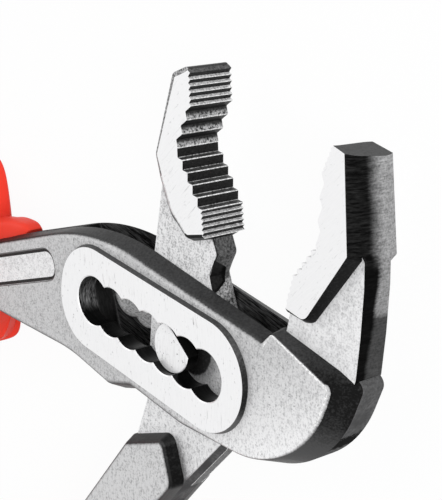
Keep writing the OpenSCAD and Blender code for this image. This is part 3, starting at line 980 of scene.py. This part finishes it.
def sleeve_stations():
    """Sections along a sleeve, close together where it bends: distance, height on the guard's side and on
    the other, half thickness, slant on the guard's side and on the other, how square the section is."""
    guard = COLLAR_LEN + GUARD_LEN
    stations = np.array([
        [0, 7.6, 15.4, 2.9, 1.57, 0.90, 0.42],
        [1.4, 9.5, 16.9, 3.3, 1.23, 0.77, 0.42],
        [4, 11, 17.3, 3.6, 0.87, 0.64, 0.42],
        [COLLAR_LEN - 7, 11.4, 17.5, 4.4, 0.63, 0.5, 0.42],
        [COLLAR_LEN - 5, 11.6, 17.5, GRIP_HALF_T - 1.4, 0.5, 0.5, 0.4],
        [COLLAR_LEN - 0.4, 12, 17.6, GRIP_HALF_T - 0.6, 0.22, 0.25, 0.36],
        [COLLAR_LEN + 0.2, GUARD_RISE - 1.2, LIP_RISE - 0.3, GRIP_HALF_T + 0.7, 0.14, 0.22, 0.26],
        [COLLAR_LEN + 1.4, GUARD_RISE, LIP_RISE, GRIP_HALF_T + 1.3, 0.126, 0.18, 0.26],
        [guard - 1.6, GUARD_RISE, LIP_RISE, GRIP_HALF_T + 1.5, 0.1, 0.056, 0.26],
        [guard + 0.4, GUARD_RISE - 2, LIP_RISE - 1, GRIP_HALF_T + 1.2, 0.1, 0.056, 0.4],
        [guard + 3, GRIP_HALF_W + 4, GRIP_HALF_W + 3, GRIP_HALF_T + 0.5, 0.056, 0.032, 0.48],
        [guard + 10, GRIP_HALF_W, GRIP_HALF_W, GRIP_HALF_T, 0, 0, 0.52],
        [GRIP_LEN * 0.42, GRIP_HALF_W - 0.5, GRIP_HALF_W - 0.5, GRIP_HALF_T, 0, 0, 0.52],
        [GRIP_LEN * 0.68, GRIP_HALF_W + 0.5, GRIP_HALF_W + 0.5, GRIP_HALF_T + 0.2, 0, 0, 0.52],
        [GRIP_LEN - 12, GRIP_HALF_W - 1.2, GRIP_HALF_W - 1.2, GRIP_HALF_T - 0.6, 0, 0, 0.52],
        [GRIP_LEN - 4, GRIP_HALF_W - 2.6, GRIP_HALF_W - 2.6, GRIP_HALF_T - 1.4, 0, 0, 0.52],
        [GRIP_LEN - 1, GRIP_HALF_W - 5, GRIP_HALF_W - 5, GRIP_HALF_T - 3, 0, 0, 0.52],
        [GRIP_LEN, GRIP_HALF_W - 7.5, GRIP_HALF_W - 7.5, GRIP_HALF_T - 5, 0, 0, 0.52],
    ])
    step, soft = 0.25, 0.55
    run = np.concatenate([[0], np.cumsum(np.linalg.norm(np.diff(stations[:, :3], axis=0), axis=1))])
    dense = np.array([np.interp(np.arange(0, run[-1], step), run, column) for column in stations.T]).T
    kernel = np.exp(-0.5 * (np.arange(-8, 9) * step / soft) ** 2)
    padded = np.concatenate([np.repeat(dense[:1], 8, 0), dense, np.repeat(dense[-1:], 8, 0)])
    smooth = np.array([np.convolve(column, kernel / kernel.sum(), "valid") for column in padded.T]).T
    kept = [smooth[0]]
    for station in smooth[1:-1]:
        curved = station[0] < guard + 8 or station[0] > GRIP_LEN - 14
        if np.linalg.norm(station - kept[-1]) > (0.5 if curved else 2.2):
            kept.append(station)
    return kept + [smooth[-1]]


def sleeve(piece_name, line, offset, guard_side):
    """One grip along its handle line, with the tall part of its guard on one side of the line."""
    sides = 72
    shape = bmesh.new()
    rings = []
    for s, guard, lip, half, slant, lip_slant, square in sleeve_stations():
        up, down = (guard, lip) if guard_side > 0 else (lip, guard)
        ring = []
        for i in range(sides):
            c, d = math.cos(math.tau * i / sides), math.sin(math.tau * i / sides)
            n = math.copysign(abs(c) ** square, c) * (up if c > 0 else down)
            z = math.copysign(abs(d) ** square, d) * half
            lean = slant if n * guard_side > 0 else lip_slant
            x, y = beside(line, offset + s - lean * guard_side * n, n)
            ring.append(shape.verts.new((x * MM, y * MM, (MID_Z + z) * MM)))
        rings.append(ring)
    for a, b in zip(rings, rings[1:]):
        for i in range(sides):
            j = (i + 1) % sides
            shape.faces.new((a[i], b[i], b[j], a[j])).smooth = True
    shape.faces.new(rings[0])
    shape.faces.new(rings[-1][::-1])
    bmesh.ops.recalc_face_normals(shape, faces=shape.faces)
    mesh = bpy.data.meshes.new(piece_name)
    shape.to_mesh(mesh)
    shape.free()
    piece = bpy.data.objects.new(piece_name, mesh)
    bpy.context.scene.collection.objects.link(piece)
    return piece


def sleeve_paint(w):
    """Red plastic that leans to orange, with a faint waviness from the mould."""
    spot = w.place()
    cloud = w.noise(spot, 16, 3)
    wave = w.noise(spot, 2.4, 2)
    return {
        "Base Color": w.blend(cloud, (0.80, 0.038, 0.021), (0.87, 0.064, 0.038)),
        "Roughness": 0.42 + (wave - 0.5) * 0.12,
        "Specular IOR Level": 0.1,
        "Normal": w.bump(wave, 0.1, 0.12),
    }


red_plastic = finish("red_plastic", sleeve_paint)
for node, body, line, offset, guard_side in (
    ("outer_grip", "outer_half", OUTER_LINE, OUTER_FROM, 1),
    ("inner_grip", "inner_half", INNER_LINE, INNER_FROM, -1),
):
    grip = sleeve(node + "_sleeve", line, offset, guard_side)
    grip.data.materials.append(red_plastic)
    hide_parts(node)
    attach(grip, body)

# Stage: a white floor that the tool lies on, an even white surround that gives most of the light, and two
# soft lamps, the stronger one beyond the head and the weaker one beyond the upper handle.
FLOOR_REACH, FLOOR_GAP = 6.0, 0.0002


def seen_by_eye(wire):
    """1 for rays from the camera, a mirror image or glass, 0 for those that carry light."""
    rays = [wire.node("LightPath", out=f"Is {ray} Ray") for ray in ("Camera", "Glossy", "Transmission")]
    return wire.maths("MAXIMUM", wire.maths("MAXIMUM", rays[0], rays[1]), rays[2])


floor_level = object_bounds()[0].z - FLOOR_GAP
quarters = [(-1, -1), (1, -1), (1, 1), (-1, 1)]
floor_corners = [(x * FLOOR_REACH, y * FLOOR_REACH, floor_level) for x, y in quarters]
floor_mesh = bpy.data.meshes.new("floor")
floor_mesh.from_pydata(floor_corners, [], [(0, 1, 2, 3)])
floor = bpy.data.objects.new("floor", floor_mesh)
bpy.context.scene.collection.objects.link(floor)

floor_white = bpy.data.materials.new("floor_white")
floor_white.use_nodes = True
tree = floor_white.node_tree
tree.nodes.clear()
wire = Wire(tree)
matt = wire.node("BsdfDiffuse", inputs={"Color": (0.9, 0.9, 0.9, 1)})
bright = wire.node("Emission", inputs={"Color": (1, 1, 1, 1), "Strength": 1.0})
mixed = wire.node("MixShader", inputs={0: seen_by_eye(wire) * 0.95, 1: matt, 2: bright})
tree.links.new(mixed.socket, output(tree))
floor_mesh.materials.append(floor_white)

world = bpy.data.worlds.new("surround")
bpy.context.scene.world = world
world.use_nodes = True
tree = world.node_tree
tree.nodes.clear()
wire = Wire(tree)
dim = wire.node("Background", inputs={"Color": (1, 1, 1, 1), "Strength": 0.54})
full = wire.node("Background", inputs={"Color": (1, 1, 1, 1), "Strength": 1.0})
mixed = wire.node("MixShader", inputs={0: seen_by_eye(wire), 1: dim, 2: full})
tree.links.new(mixed.socket, tree.nodes.new("ShaderNodeOutputWorld").inputs["Surface"])

for lamp_name, spot, power, size in (
    ("handle_lamp", (-0.75, 0.30, 0.60), 1.8, 0.4),
    ("head_lamp", (0.75, 0.35, 0.50), 6.4, 0.5),
):
    lamp = bpy.data.lights.new(lamp_name, "AREA")
    lamp.energy, lamp.size = power, size
    holder = bpy.data.objects.new(lamp_name, lamp)
    holder.location = spot
    holder.rotation_mode = "QUATERNION"
    holder.rotation_quaternion = (Vector((0, 0, MID_Z * MM)) - Vector(spot)).to_track_quat("-Z", "Y")
    bpy.context.scene.collection.objects.link(holder)

# Camera: a long lens over the joint, turned and tilted as in the photograph. Its place is in metres, and
# its three directions are those of the picture.
CAMERA_AT = (0.19425, 0.13593, 0.18997)
RIGHT, DOWN, AHEAD = (0.6473, 0.1295, -0.7512), (0.3798, -0.9092, 0.1706), (-0.6609, -0.3957, -0.6377)
PHOTO_HEIGHT, FOCAL_PIXELS = 500, 1481
camera = bpy.data.cameras.new("camera")
camera.sensor_width = 36
camera.lens = FOCAL_PIXELS / PHOTO_HEIGHT * camera.sensor_width
camera.clip_start, camera.clip_end = 0.005, 50
view = bpy.data.objects.new("camera", camera)
turned = Matrix((RIGHT, -Vector(DOWN), -Vector(AHEAD))).transposed().to_4x4()
view.matrix_world = Matrix.Translation(Vector(CAMERA_AT)) @ turned
bpy.context.scene.collection.objects.link(view)
bpy.context.scene.camera = view
bpy.context.scene.view_settings.view_transform = "Standard"

bpy.context.view_layer.update()
